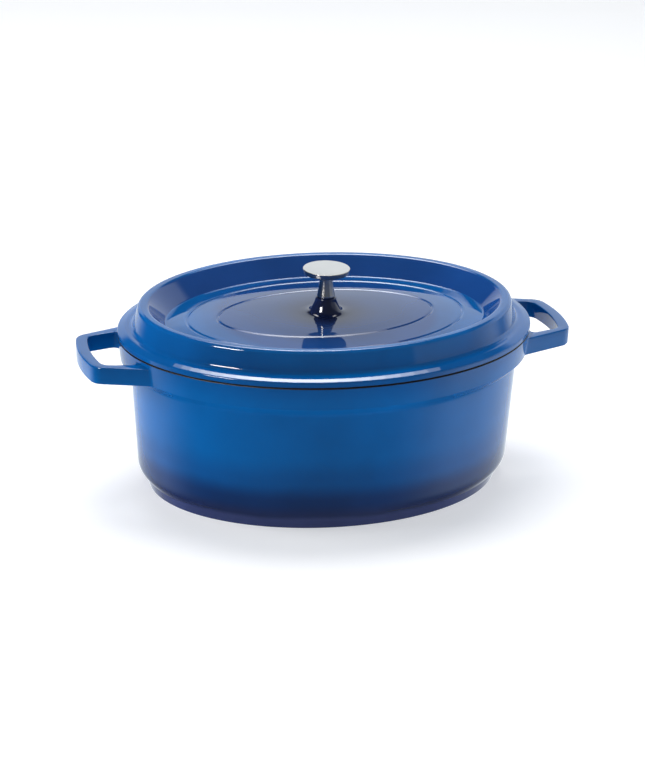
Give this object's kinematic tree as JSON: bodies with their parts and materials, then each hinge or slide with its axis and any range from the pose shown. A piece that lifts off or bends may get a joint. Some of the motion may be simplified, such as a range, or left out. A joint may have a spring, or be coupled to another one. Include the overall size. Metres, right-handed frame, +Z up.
{
  "type": "cast iron dutch oven",
  "caption": "Oval enamelled cast iron cooking pot with loop handles and a fitted lid that lifts off by a turned steel knob.",
  "frame": {"origin": "middle of the foot, on the surface that the pot stands on", "axes": "+X along the handles and the oval's long axis, +Y across the oval, +Z up through the knob"},
  "size_m": [0.395, 0.2622, 0.174],
  "materials": {
    "pot_enamel": "gloss blue vitreous enamel, shaded to navy at the base, satin black inside",
    "lid_enamel": "gloss blue vitreous enamel, shaded to navy at the middle, satin black underneath",
    "knob_steel": "turned stainless steel, satin top face, polished edge and stem",
    "fastener_steel": "plain stainless steel"
  },
  "bodies": {
    "pot": {"pot_body": "pot_enamel"},
    "lid": {"lid": "lid_enamel", "lid_knob": "knob_steel", "knob_screw": "fastener_steel", "spring_washer": "fastener_steel", "flat_washer": "fastener_steel"}
  },
  "joints": [
    {"name": "lid_lift", "type": "slide", "parent": "pot", "child": "lid", "axis": [0, 0, 1], "range_m": [0, 0.25]}
  ]
}
